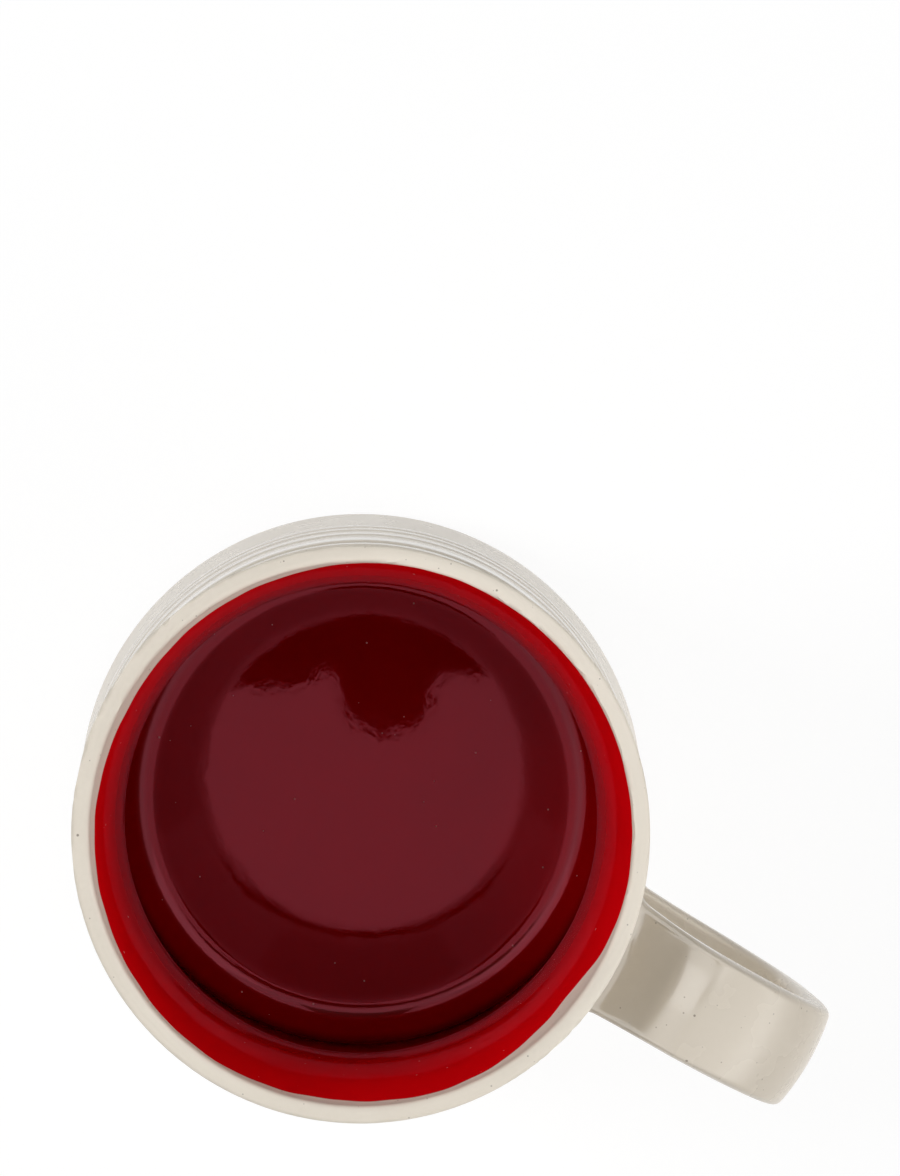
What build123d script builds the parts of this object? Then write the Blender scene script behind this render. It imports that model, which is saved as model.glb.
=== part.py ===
from build123d import *
import math
import os

# A one-handled stoneware mug, thrown on a wheel, with a pulled strap handle and two glazes.
# Millimetres, +Z up. The origin is the middle of the foot's flat land, on the table and on
# the cup's upright axis. The handle points along +X.
#
# The clay body is one thrown piece. The strap is luted onto it at two joints, and the glazes
# lie over the clay as thin coats: cream outside and over the lip, red inside.

# The outline of the cup. Radii are measured from the upright axis, and heights from the table.
# The belly, the neck and the throat lie at shares of the cup's height
cup_height = 115.6
belly_radius = 48.6
waist_depth = 5.7
lip_flare = 1.7
lip_thickness = 1.8
lip_crest = 1.15
belly_share = 0.1038
neck_share = 0.744
throat_share = 0.6886

# Each waist's bend, as a share of the one bend that would carry the wall all the way down
neck_bend_share = 0.46
throat_bend_share = 0.258

# The walls and the floor, with a round corner between them
neck_wall = 4.1
belly_wall = 4.2
corner_round = 7.9
floor_thickness = 4.6
floor_rise = 1.65

# The turned foot
foot_inset = 3.4
foot_land = 5.0
recess_depth = 1.6
recess_lean = 1.1

# The throwing rings: shallow finger grooves, with a crest between each two, which stop below
# the neck
groove_bottom = 37.0
groove_pitch = 5.6
groove_depth = 0.35
groove_stop = 9.6

# The glazes
glaze_thickness = 0.4
red_line_depth = 3.6
glaze_stop = 3.0
recess_glaze_gap = 1.5

# The clay strap of the handle
strap_width = 17.6
strap_narrowing = 0.7
strap_thickness = 5.7
strap_crown = 1.0
strap_edge = 1.7

# The handle's loop, along the strap's middle line: it springs upwards from the neck, runs level
# to the shoulder, down the back and round the heel to the belly. The reach is how far the back
# stands out from the neck. The loop was set on by eye, so it is turned by handle_skew degrees
# and stands aside
handle_drop = 22.4
handle_foot = 21.0
handle_reach = 37.6
handle_seat = 4.0
handle_skew = 1.2
handle_aside = 1.7

# The corners of the middle line, as shares of the loop's reach and height, and their bends as
# shares of its height
spring_shares = (0.375, 1.083)
shoulder_shares = (0.9415, 1.0773)
back_shares = (1, 0.6233)
heel_shares = (0.875, 0.2077)
bend_shares = (0.3463, 0.2909, 1.1081, 0.374)

# The luted joints, where soft clay is smoothed into the corner between the strap and the wall.
# The flare shares are places along a joint, from inside the wall out to its feather edge
joint_flare = 2.4
joint_length = 4.2
joint_feather = 0.3
flare_shares = (-0.6, -0.3, 0, 0.3, 0.6, 1)

UP = Vector(0, 1)
DOWN = Vector(0, -1)

foot_radius = belly_radius - foot_inset
neck_height = cup_height * neck_share
handle_top = cup_height - handle_drop

foot = Vector(foot_radius, 0)
belly = Vector(belly_radius, cup_height * belly_share)
neck = Vector(belly_radius - waist_depth, neck_height)
throat = Vector(neck.X - neck_wall, cup_height * throat_share)
corner = Vector(belly_radius - belly_wall, recess_depth + floor_thickness)
lip_out = Vector(neck.X + lip_flare, cup_height - lip_crest)
lip_in = lip_out - Vector(lip_thickness, 0)
lip_middle = Vector(lip_out.X - lip_thickness / 2, cup_height)


def upright_bend(start, end):
    """The radius of the arc that leaves start straight up or down and reaches end."""
    way = end - start
    return (way.X**2 + way.Y**2) / (2 * way.X)


def lean_end(waist, bend, low_point):
    """Where a straight wall that rises from low_point runs into the bend below its waist."""
    way = waist + Vector(bend, 0) - low_point
    heading = math.atan2(way.Y, way.X) + math.asin(bend / way.length)
    rise = math.sqrt(way.length**2 - bend**2)
    return low_point + Vector(math.cos(heading), math.sin(heading)) * rise


neck_bend = upright_bend(neck, belly) * neck_bend_share
throat_bend = upright_bend(throat, corner) * throat_bend_share
outer_lean_end = lean_end(neck, neck_bend, belly)


def on_outer_wall(height):
    """The point of the smooth outside wall at a height between the belly and the lip."""
    if height < outer_lean_end.Y:
        share = (height - belly.Y) / (outer_lean_end.Y - belly.Y)
        return belly + (outer_lean_end - belly) * share
    bend = neck_bend if height < neck_height else upright_bend(neck, lip_out)
    away = height - neck_height
    return Vector(neck.X + bend - math.sqrt(bend**2 - away**2), height)


def outer_wall():
    """The outside of the clay from the foot to the lip, with its throwing rings."""
    groove_count = int((neck_height - groove_stop - groove_bottom) / groove_pitch)
    crests = [on_outer_wall(groove_bottom + groove_pitch * ring) for ring in range(groove_count + 1)]
    lines = [TangentArc(belly, foot, tangent=belly - outer_lean_end)]
    lines.append(Line(belly, crests[0]))
    for low, high in zip(crests, crests[1:]):
        groove = on_outer_wall((low.Y + high.Y) / 2) - Vector(groove_depth, 0)
        lines.append(ThreePointArc(low, groove, high))
    lines.append(TangentArc(neck, crests[-1], tangent=DOWN))
    lines.append(TangentArc(neck, lip_out, tangent=UP))
    return lines


def inner_wall():
    """The inside of the clay from the lip to the middle of the floor, which rises slightly."""
    lean_top = lean_end(throat, throat_bend, corner)
    up_wall = (lean_top - corner).normalized()
    floor_angle = 2 * math.atan(floor_rise / corner.X)
    along_floor = Vector(-math.cos(floor_angle), math.sin(floor_angle))
    reach = corner_round / math.tan(math.radians(up_wall.get_angle(along_floor)) / 2)
    wall_end = corner + up_wall * reach
    floor_end = corner + along_floor * reach
    dome = floor_end.X / math.sin(floor_angle)
    floor_middle = Vector(0, floor_end.Y + dome * (1 - math.cos(floor_angle)))
    return [
        TangentArc(throat, lip_in, tangent=UP),
        TangentArc(throat, lean_top, tangent=DOWN),
        Line(lean_top, wall_end),
        TangentArc(wall_end, floor_end, tangent=corner - wall_end),
        TangentArc(floor_end, floor_middle, tangent=along_floor),
    ]


def region(low, high):
    """A rectangle between two corners of the section's plane."""
    return Pos(low.X, low.Y) * Rectangle(high.X - low.X, high.Y - low.Y, align=(Align.MIN, Align.MIN))


def clay_section():
    """Half of the clay body's section."""
    inside = inner_wall()
    recess = Vector(foot_radius - foot_land - recess_lean, recess_depth)
    land_edge = Vector(foot_radius - foot_land, 0)
    under = Polyline(inside[-1] @ 1, Vector(0, recess_depth), recess, land_edge, foot)
    lip = ThreePointArc(lip_out, lip_middle, lip_in)
    return make_face(outer_wall() + inside + [lip, under])


def hollow_section():
    """Half of the section of the space inside the clay, up to the lip's inner edge."""
    inside = inner_wall()
    return make_face(inside + [Polyline(inside[-1] @ 1, Vector(0, lip_in.Y), lip_in)])


def filled_section():
    """Half of the clay's outer outline, filled to the axis, which trims what is luted on."""
    close = Polyline(lip_out, Vector(0, lip_out.Y), Vector(0, 0), foot)
    return make_face(outer_wall() + [close])


def turned(section):
    """A round solid from half of its section, with its seam opposite the handle."""
    return Rot(Z=180) * revolve(Plane.XZ * section, Axis.Z)


def glaze_sections():
    """The cream coat, the red lining and the patch in the foot's recess, in half section."""
    clay = clay_section()
    skin = offset(clay, glaze_thickness, kind=Kind.ARC) - clay
    beyond = Vector(belly_radius, cup_height) * 2
    red_part = hollow_section() & region(Vector(0, 0), Vector(beyond.X, cup_height - red_line_depth))
    coat = (skin - red_part) & region(Vector(0, glaze_stop), beyond)
    recess_radius = foot_radius - foot_land - recess_lean - recess_glaze_gap
    patch = skin & region(Vector(0, 0), Vector(recess_radius, recess_depth))
    return coat, skin & red_part, patch


def handle_path():
    """The middle line of the strap, which starts and ends inside the wall."""
    top, bottom = [on_outer_wall(height) - Vector(handle_seat, 0) for height in (handle_top, handle_foot)]
    loop_height = handle_top - handle_foot
    corners = [
        Vector(neck.X + handle_reach * out, handle_foot + loop_height * up)
        for out, up in (spring_shares, shoulder_shares, back_shares, heel_shares)
    ]
    bends = [loop_height * share for share in bend_shares]
    return Plane.XZ * FilletPolyline(top, *corners, bottom, radius=bends)


def strap_section(half_width, half_height, grown):
    """The strap's rounded section: local X across the strap, local Y towards its outer face."""
    side = half_height - strap_crown
    corners = [Vector(x * half_width, y * side) for x, y in ((-1, 1), (1, 1), (1, -1), (-1, -1))]
    outline = [
        ThreePointArc(corners[0], Vector(0, half_height), corners[1]),
        Line(corners[1], corners[2]),
        ThreePointArc(corners[2], Vector(0, -half_height), corners[3]),
        Line(corners[3], corners[0]),
    ]
    face = make_face(outline)
    return fillet(face.vertices(), strap_edge + grown)


def strap(path, grown):
    """The strap grown all round, a little narrower at the back of the loop than at its ends."""
    sections = []
    for share, narrowing in ((0, 0), (1 / 2, strap_narrowing), (1, 0)):
        plane = Plane(origin=path @ share, x_dir=(0, 1, 0), z_dir=path % share)
        half_width = (strap_width - narrowing) / 2 + grown
        sections.append(plane * strap_section(half_width, strap_thickness / 2 + grown, grown))
    return sweep(sections, path=path, multisection=True)


def flare(distance):
    """How far a joint stands out from the strap at a distance from the wall."""
    return joint_feather + joint_flare * (1 - distance / joint_length) ** 2


def joint(height, heading, grown):
    """The collar of luted clay round an end of the strap, which leaves the wall along heading.

    The wall falls away behind the sides of the strap, so the flare starts further in there.
    """
    seat = on_outer_wall(height)
    fall = seat.X - math.sqrt(seat.X**2 - (strap_width / 2) ** 2)
    rise = heading.Z / heading.X
    stretch = math.hypot(1, rise)
    sections = []
    for share in flare_shares:
        reach = joint_length * share
        plane = Plane((seat.X + reach, 0, height + reach * rise), x_dir=(0, 1, 0), z_dir=(1, 0, 0))
        side_growth = flare(min(reach + fall, joint_length)) + grown
        face_growth = flare(reach) + grown
        half_height = (strap_thickness / 2 + face_growth) * stretch
        sections.append(plane * strap_section(strap_width / 2 + side_growth, half_height, side_growth))
    return loft(sections)


def build_handle(filled):
    """The strap, its upper and lower joints, and the whole handle with its glaze."""
    path = handle_path()
    seats = ((handle_top, path % 0), (handle_foot, -(path % 1)))
    askew = Pos(Y=handle_aside) * Rot(Z=-handle_skew)
    bare_strap = askew * strap(path, 0) - filled
    joints = [askew * joint(height, heading, 0) - filled - bare_strap for height, heading in seats]
    glazed = strap(path, glaze_thickness)
    for height, heading in seats:
        glazed += joint(height, heading, glaze_thickness)
    return bare_strap, joints, askew * glazed - filled


def build_mug():
    """Every piece of the mug, by name."""
    coat, lining, patch = [turned(section) for section in glaze_sections()]
    bare_strap, (upper_joint, lower_joint), glazed_handle = build_handle(turned(filled_section()))
    return {
        "thrown_body": turned(clay_section()),
        "handle_strap": bare_strap,
        "upper_handle_joint": upper_joint,
        "lower_handle_joint": lower_joint,
        "cream_glaze_coat": coat - glazed_handle,
        "handle_glaze": glazed_handle - bare_strap - upper_joint - lower_joint,
        "red_glaze_lining": lining,
        "foot_recess_glaze": patch,
    }


os.makedirs("parts", exist_ok=True)
for name, piece in build_mug().items():
    export_step(piece, f"parts/{name}.step")
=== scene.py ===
"""The looks of a one-handled stoneware mug, cream-glazed outside and red-glazed inside.

The coats of glaze are smooth closed meshes over the packed clay pieces. Everything is in metres
in the part's own frame: +Z up, the foot on Z = 0 and the handle towards +X.
"""

import math

import bpy
import numpy as np
from bpy.props import FloatProperty, FloatVectorProperty, PointerProperty
from mathutils import Matrix, Vector


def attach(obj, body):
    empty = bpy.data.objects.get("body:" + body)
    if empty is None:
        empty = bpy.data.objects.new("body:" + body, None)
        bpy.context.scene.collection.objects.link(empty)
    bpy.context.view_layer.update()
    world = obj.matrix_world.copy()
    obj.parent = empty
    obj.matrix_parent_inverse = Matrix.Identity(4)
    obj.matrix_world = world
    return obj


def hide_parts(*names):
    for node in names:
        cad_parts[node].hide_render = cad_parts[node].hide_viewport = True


bl_info = {
    "name": "Glazed stoneware mug",
    "version": (1, 0, 0),
    "blender": (4, 5, 0),
    "location": "3D View > Sidebar > Mug",
    "description": "Glaze coats, clay and studio for a hand-thrown mug",
    "category": "Object",
}

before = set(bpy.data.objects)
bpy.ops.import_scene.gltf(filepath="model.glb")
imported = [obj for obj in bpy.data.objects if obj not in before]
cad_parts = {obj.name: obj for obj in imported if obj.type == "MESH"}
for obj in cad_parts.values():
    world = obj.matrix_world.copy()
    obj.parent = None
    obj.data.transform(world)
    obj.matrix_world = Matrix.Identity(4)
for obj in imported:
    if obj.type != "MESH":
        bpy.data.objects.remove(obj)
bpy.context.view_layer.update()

MM = 0.001
TINY = 1e-9


# -------- settings


def length(name, text, value):
    """A size in metres that shows as a distance."""
    return FloatProperty(name=name, description=text, default=value, unit="LENGTH", precision=4)


def share(name, text, value):
    """A share from 0 to 1."""
    return FloatProperty(name=name, description=text, default=value, min=0, max=1, subtype="FACTOR")


def amount(name, text, value):
    """A plain number that isn't negative."""
    return FloatProperty(name=name, description=text, default=value, min=0)


def colour(name, text, value):
    """A linear colour."""
    return FloatVectorProperty(
        name=name, description=text, default=value, size=3, min=0, max=1, subtype="COLOR"
    )


class CupSizes(bpy.types.PropertyGroup):
    """The outline of the clay cup, which the glazes follow."""

    height: length("Height", "Top of the lip above the table", 115.6 * MM)
    belly_radius: length("Belly radius", "Widest clay, just above the foot", 48.6 * MM)
    belly_height: length("Belly height", "Height of the widest clay", 12.0 * MM)
    foot_radius: length("Foot radius", "Clay at the table", 45.2 * MM)
    neck_radius: length("Neck radius", "Narrowest outside", 42.9 * MM)
    neck_height: length("Neck height", "Height of the narrowest outside", 86.0 * MM)
    neck_bend: length("Neck bend", "Radius of the bend below the neck", 222.3 * MM)
    lip_radius: length("Lip radius", "Outer edge of the clay lip", 44.7 * MM)
    lip_thickness: length("Lip thickness", "Clay at the lip", 1.8 * MM)
    lip_crest: length("Lip crest", "Height of the lip's rounding", 1.15 * MM)
    throat_radius: length("Throat radius", "Narrowest inside", 38.8 * MM)
    throat_height: length("Throat height", "Height of the narrowest inside", 79.6 * MM)
    throat_bend: length("Throat bend", "Radius of the bend below the throat", 124.8 * MM)
    corner_radius: length("Corner radius", "Inside wall at the floor, before rounding", 44.4 * MM)
    corner_height: length("Corner height", "Floor at its outer edge", 6.2 * MM)
    corner_round: length("Corner round", "Radius between wall and floor", 7.3 * MM)
    floor_rise: length("Floor rise", "Height of the floor's gentle dome", 1.52 * MM)
    recess_height: length("Recess height", "Underside of the floor inside the foot", 1.6 * MM)
    recess_radius: length("Recess radius", "Edge of the glaze inside the foot", 37.6 * MM)


class GlazeSettings(bpy.types.PropertyGroup):
    """How the glazes lie, and their colours."""

    thickness: length("Thickness", "Glaze over the clay", 0.4 * MM)
    red_radius: length("Red line", "Radius of the red glaze's edge", 42.05 * MM)
    red_wander: share("Red wander", "How much the red edge strays up and down", 1.0)
    stop: length("Foot stop", "Height where the cream glaze stops at the foot", 3.0 * MM)
    stop_wander: length("Stop wander", "How far that edge strays", 0.35 * MM)
    lip_fullness: length("Lip fullness", "Glaze gathered on the lip's two shoulders", 0.3 * MM)
    floor_lean: length("Floor lean", "Extra red glaze pooled towards one side", 0.24 * MM)
    ring_depth: length("Ring depth", "Depth of the deepest throwing ring", 0.5 * MM)
    ring_width: length("Ring width", "How far each groove fades out upwards", 2.2 * MM)
    ring_step: length("Ring step", "How far it fades out downwards, to the ledge below", 0.5 * MM)
    cream: colour("Cream", "The outside glaze", (0.69, 0.625, 0.53))
    cream_thin: colour("Thin cream", "Cream glaze where it runs thin", (0.50, 0.437, 0.348))
    red: colour("Red", "The inside glaze near the lip", (0.80, 0.001, 0.005))
    # Painted shade: this much darker red low on the inner wall stands in for the shade deep in the
    # cup
    red_shaded: colour("Deep red", "The inside glaze low on the wall", (0.085, 0.0002, 0.0006))
    red_floor: colour("Floor red", "The inside glaze on the floor", (0.40, 0.0005, 0.002))
    clay: colour("Clay", "Bare fired clay", (0.50, 0.385, 0.28))
    speck: colour("Specks", "Iron specks in clay and glaze", (0.10, 0.065, 0.04))


class HandleSizes(bpy.types.PropertyGroup):
    """The glazed strap handle."""

    width: length("Width", "Clay strap across", 17.6 * MM)
    waist: length("Waist", "How much narrower the strap is at its back", 0.7 * MM)
    depth: length("Depth", "Clay strap from face to face", 5.7 * MM)
    crown: length("Crown", "How far each face bulges", 1.0 * MM)
    edge: length("Edge", "Rounding of the strap's four edges", 1.0 * MM)
    top: length("Top", "Height where the strap leaves the neck", 93.2 * MM)
    foot: length("Foot", "Height where the strap meets the belly", 21.0 * MM)
    reach: length("Reach", "Middle of the strap's back from the axis", 80.5 * MM)
    aside: length("Aside", "How far the loop stands to one side", 1.7 * MM)
    skew: FloatProperty(
        name="Skew", description="Turn of the loop", default=math.radians(-1.2), subtype="ANGLE"
    )
    flare: length("Flare", "How far the clay spreads where it meets the wall", 2.5 * MM)
    flare_reach: length("Flare reach", "How far out that spreading starts", 4.2 * MM)
    swell: length("Swell", "Extra thickness on top, where the strap turns level", 1.9 * MM)
    spread: length("Spread", "How much wider the strap gets at its ends, on its left", 1.1 * MM)
    thumbed: length("Thumbed clay", "Extra clay smoothed in under the strap's ends", 3.7 * MM)


class StudioSettings(bpy.types.PropertyGroup):
    """Camera, lamps and floor."""

    focal: amount("Focal length", "In millimetres", 169.9)
    camera_height: length("Camera height", "Above the lip", 863 * MM)
    sky: amount("Sky", "Even light all round", 0.47)
    gloss: amount("Gloss", "Glow of the boxes that only reflections see", 3.6)
    key: amount("Key", "Glow of the softbox to the left", 19.0)
    fill: amount("Fill", "Glow of the softbox to the right", 4.2)
    white: amount("White", "What reflections and the camera see all round", 1.0)
    floor: amount("Floor", "What the camera sees of the floor", 1.05)
    shadow: share("Shadow", "How much of the floor's shading shows", 0.15)


GROUPS = {
    "mug_cup": CupSizes,
    "mug_glaze": GlazeSettings,
    "mug_handle": HandleSizes,
    "mug_studio": StudioSettings,
}


# -------- outlines


def unit(way):
    """The same direction with length 1."""
    return way / np.hypot(*way)


def bend(start, heading, end, steps=400):
    """Points of the arc that leaves start along heading and reaches end."""
    start, end = np.array(start, float), np.array(end, float)
    heading = unit(np.array(heading, float))
    side = np.array([-heading[1], heading[0]])
    way = end - start
    offset = way @ side
    if abs(offset) < TINY:
        return start + np.linspace(0, 1, steps)[:, None] * way
    radius = (way @ way) / (2 * offset)
    turn = 2 * math.atan2(offset, way @ heading)
    angle = np.linspace(0, turn, steps)[:, None]
    return start + radius * (np.sin(angle) * heading + (1 - np.cos(angle)) * side)


def lean_end(waist, radius, low):
    """Where a straight wall that rises from low runs into the bend below its waist."""
    way = waist + (radius, 0) - low
    heading = math.atan2(way[1], way[0]) + math.asin(radius / np.hypot(*way))
    rise = math.sqrt(way @ way - radius**2)
    return low + np.array([math.cos(heading), math.sin(heading)]) * rise


def clay_outline(cup):
    """The clay's outline from the foot, over the lip, to the middle of the floor."""
    foot = np.array([cup.foot_radius, 0])
    belly = np.array([cup.belly_radius, cup.belly_height])
    neck = np.array([cup.neck_radius, cup.neck_height])
    throat = np.array([cup.throat_radius, cup.throat_height])
    lip_out = np.array([cup.lip_radius, cup.height - cup.lip_crest])
    lip_in = lip_out - (cup.lip_thickness, 0)
    corner = np.array([cup.corner_radius, cup.corner_height])
    lean_out = lean_end(neck, cup.neck_bend, belly)
    lean_in = lean_end(throat, cup.throat_bend, corner)
    up = unit(lean_in - corner)
    tilt = 2 * math.atan(cup.floor_rise / cup.corner_radius)
    along = np.array([-math.cos(tilt), math.sin(tilt)])
    reach = cup.corner_round / math.tan(math.acos(up @ along) / 2)
    wall_end, floor_end = corner + up * reach, corner + along * reach
    dome = floor_end[0] / math.sin(tilt)
    middle = np.array([0, floor_end[1] + dome * (1 - math.cos(tilt))])
    lip_turn = 2 * math.atan2(cup.lip_crest, cup.lip_thickness / 2)
    return [
        bend(belly, belly - lean_out, foot)[::-1],
        bend(belly, lean_out - belly, lean_out),
        bend(neck, (0, -1), lean_out)[::-1],
        bend(neck, (0, 1), lip_out),
        bend(lip_out, (-math.cos(lip_turn), math.sin(lip_turn)), lip_in),
        bend(throat, (0, 1), lip_in)[::-1],
        bend(throat, (0, -1), lean_in),
        bend(lean_in, wall_end - lean_in, wall_end),
        bend(wall_end, corner - wall_end, floor_end),
        bend(floor_end, along, middle),
    ]


def distances(line):
    """How far along the line each of its points is."""
    return np.r_[0, np.cumsum(np.hypot(*np.diff(line, axis=0).T))]


def read(line, run, where):
    """The line's two coordinates at these distances along it."""
    return [np.interp(where, run, line[:, i]) for i in (0, 1)]


def left_of(way):
    """Directions of length 1, square to these and on their left."""
    way = way / np.hypot(*way.T)[:, None]
    return np.stack([-way[:, 1], way[:, 0]], 1)


def hill(distance, width):
    """A share that is 1 at no distance and fades out smoothly to both sides."""
    return np.exp(-((distance / width) ** 2))


def tidy_line(pieces, step=0.05 * MM, blur=0.5 * MM):
    """One evenly spaced line through the pieces, with its sharp changes of bend softened."""
    line = np.concatenate(pieces)
    line = line[np.r_[True, np.hypot(*np.diff(line, axis=0).T) > TINY]]
    run = distances(line)
    count = int(run[-1] / step)
    even = np.linspace(0, run[-1], count)
    line = np.stack(read(line, run, even), 1)
    reach = int(3 * blur / step)
    weights = np.exp(-0.5 * (np.arange(-reach, reach + 1) * step / blur) ** 2)
    weights /= weights.sum()
    padded = np.concatenate(
        [2 * line[0] - line[reach:0:-1], line, 2 * line[-1] - line[-2 : -reach - 2 : -1]]
    )
    return np.stack([np.convolve(padded[:, i], weights, "valid") for i in (0, 1)], 1)


class Outline:
    """The clay's outline as a line that can be read at any distance along it."""

    lip_reach = 12 * MM
    fine_step = 0.02 * MM

    def __init__(self, cup):
        line = tidy_line(clay_outline(cup))
        line[-1][0] = 0
        self.points = line
        self.normals = -left_of(np.gradient(line, axis=0))
        self.run = distances(line)
        self.crest = int(np.argmax(line[:, 1]))

    def at(self, run):
        """Places and outward normals at these distances."""
        return *read(self.points, self.run, run), *read(self.normals, self.run, run)

    def outside(self, height):
        """The distance along the outside at which it is this high."""
        part = slice(0, self.crest)
        return np.interp(height, self.points[part, 1], self.run[part])

    def inside(self, height):
        """The distance along the inside wall at which it is this high."""
        part = slice(self.crest, len(self.run))
        return np.interp(-height, -self.points[part, 1], self.run[part])

    def within(self, radius, thickness):
        """The distance along the inside at which a coat of that thickness has this radius."""
        part = slice(self.crest, self.crest + int(self.lip_reach / self.run[1]))
        coat = self.points[part, 0] + self.normals[part, 0] * thickness
        return np.interp(-radius, -coat, self.run[part])

    def rows(self, start, end, coarse, around):
        """Distances from start to end, coarse apart, and finer around (distance, reach, gap)."""
        run = np.arange(start, end, self.fine_step)
        gap = np.full(len(run), coarse)
        for middle, reach, fine in around:
            gap = np.minimum(gap, coarse + (fine - coarse) * hill(run - middle, reach))
        total = np.r_[0, np.cumsum(self.fine_step / gap[1:])]
        return np.interp(np.linspace(0, total[-1], int(total[-1]) + 2), total, run)


# -------- meshes

SHARP_ANGLE = math.radians(50)
# What the materials read far from the red edge or the lip, in millimetres
FAR = 50.0


def waves(angle, table):
    """A sum of waves round the cup: (count, height, phase in degrees) each."""
    return sum(high * np.cos(count * angle - math.radians(phase)) for count, high, phase in table)


def closed_grid(name, grid, poles=(None, None), loop=False):
    """A closed mesh from rings of points: grid[row][column], with columns running all round.

    A pole closes an end with a fan, and loop joins the last ring to the first.
    """
    rows, columns = grid.shape[:2]
    points = [tuple(p) for p in grid.reshape(-1, 3)]
    sides = [(column, (column + 1) % columns) for column in range(columns)]
    faces = []
    for row in range(rows if loop else rows - 1):
        low, high = row * columns, (row + 1) % rows * columns
        faces += [(low + a, low + b, high + b, high + a) for a, b in sides]
    for pole, base, turn in ((poles[0], 0, -1), (poles[1], (rows - 1) * columns, 1)):
        if pole is not None:
            faces += [(base + a, base + b, len(points))[::turn] for a, b in sides]
            points.append(tuple(pole))
    mesh = bpy.data.meshes.new(name)
    mesh.from_pydata(points, [], faces)
    mesh.validate()
    mesh.shade_smooth()
    mesh.set_sharp_from_angle(angle=SHARP_ANGLE)
    return mesh


def facing_out(mesh):
    """The mesh with its faces turned outwards, going by its signed volume."""
    mesh.calc_loop_triangles()
    corners = np.empty(len(mesh.vertices) * 3)
    mesh.vertices.foreach_get("co", corners)
    corners = corners.reshape(-1, 3)
    triangles = np.empty(len(mesh.loop_triangles) * 3, int)
    mesh.loop_triangles.foreach_get("vertices", triangles)
    a, b, c = corners[triangles.reshape(-1, 3)].transpose(1, 0, 2)
    if np.einsum("ij,ij->i", a, np.cross(b, c)).sum() < 0:
        mesh.flip_normals()
    return mesh


def add_piece(name, mesh, material, slot, *nodes):
    """A piece of the mug that stands for CAD nodes and moves with the mug."""
    piece = bpy.data.objects.new(name, facing_out(mesh))
    bpy.context.scene.collection.objects.link(piece)
    mesh.materials.append(material)
    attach(piece, "root")
    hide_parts(*nodes)


def set_values(mesh, name, values):
    """Stores one number a point, for the material to read."""
    layer = mesh.attributes.new(name, "FLOAT", "POINT")
    layer.data.foreach_set("value", np.asarray(values, np.float32).ravel())


def far_from_edges(mesh):
    """Tells the material that neither the red edge nor the lip is near."""
    set_values(mesh, "from_red", np.full(len(mesh.vertices), FAR))
    set_values(mesh, "from_lip", np.full(len(mesh.vertices), -FAR))


def spun(radius, height, angle):
    """Points from radii and heights, each turned to its angle."""
    return np.stack([radius * np.cos(angle), radius * np.sin(angle), height], -1)


# -------- coats

# The angle round the cup is 0 at the handle. Waves are written (count, height, phase), and the
# red edge's are millimetres of radius
RED_EDGE = (
    *((1, 0.37, 42), (2, 0.35, 160), (3, 0.06, 1), (4, 0.08, 110), (5, 0.09, 138)),
    *((6, 0.04, 134), (7, 0.09, 43), (8, 0.05, 100), (23, 0.03, 10), (41, 0.02, 60)),
)
FOOT_EDGE = ((2, 0.5, 30), (3, 0.35, 200), (5, 0.3, 75), (9, 0.2, 310), (14, 0.12, 20))
BODY_WAVES = ((2, 0.5, 20), (3, 0.3, 140), (5, 0.12, 250))
# One narrow dip of the red edge: its angle, its width, and its depth in millimetres of radius
RED_DIP = (math.radians(-9), 0.15, 0.3)
# The slow unevenness of the wall: the height over which it turns by a radian, and its depth
BODY_TWIST, BODY_SUNK = 60 * MM, 0.06 * MM
# The sides towards which the red glaze has pooled, and on which the lip's glaze is fuller
FLOOR_LEAN, FULL_SIDE = math.radians(28.4), math.radians(228)
# The lip's fuller glaze: its place in from the crest, width, least amount, and extra there
FULL_PLACE, FULL_WIDTH, FULL_LEAST, FULL_EXTRA = 1.5 * MM, 0.9 * MM, 0.12 * MM, 0.26 * MM
# The lip's two shoulders of gathered glaze: how far each is from the crest, and its width
SHOULDER, SHOULDER_WIDTH = 0.75 * MM, 0.45 * MM
# How far from its edge a coat is fully thick, and the wall fully uneven
COAT_EDGE, PATCH_EDGE, BODY_EDGE = 0.8 * MM, 1.0 * MM, 6 * MM
# A painted highlight on the floor's rounded corner, as a ring of paler red: its radius and width
RING_HIGHLIGHT_RADIUS, RING_HIGHLIGHT_WIDTH = 38.5 * MM, 0.7 * MM
# The foot patch's edge: how far it strays, and how many times that it stays in
PATCH_STRAY, PATCH_IN = 0.5 * MM, 1.4
# The meshes' columns and rows, and the usual gap between rows
COAT_COLUMNS, PATCH_COLUMNS, PATCH_ROWS, CREAM_BACK, RED_BACK = 320, 200, 60, 70, 60
CREAM_GAP, RED_GAP = 0.75 * MM, 0.8 * MM
# Where rows lie closer: how far around, and the gap there
LIP_ROWS, STOP_ROWS, RING_ROWS = (3 * MM, 0.14 * MM), (1 * MM, 0.16 * MM), (1.6 * MM, 0.18 * MM)
CORNER_ROWS, RED_EDGE_ROWS = (9 * MM, 0.3 * MM), (2 * MM, 0.3 * MM)
# Shares of the way at which the red's back ends and the foot patch starts
RED_BACK_END, PATCH_START = 0.985, 0.02


def red_edge(outline, glaze, angle):
    """How far along the outline the red glaze starts, at each angle."""
    middle, spread, deep = RED_DIP
    away = (angle - middle + math.pi) % (2 * math.pi) - math.pi
    wander = waves(angle, RED_EDGE) - deep * hill(away, spread)
    return outline.within(glaze.red_radius + glaze.red_wander * wander * MM, glaze.thickness)


def sunk(angle, height):
    """A slow unevenness of the thrown wall, always inwards, in metres."""
    return BODY_SUNK * (waves(angle + height / BODY_TWIST, BODY_WAVES) - 1)
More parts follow.
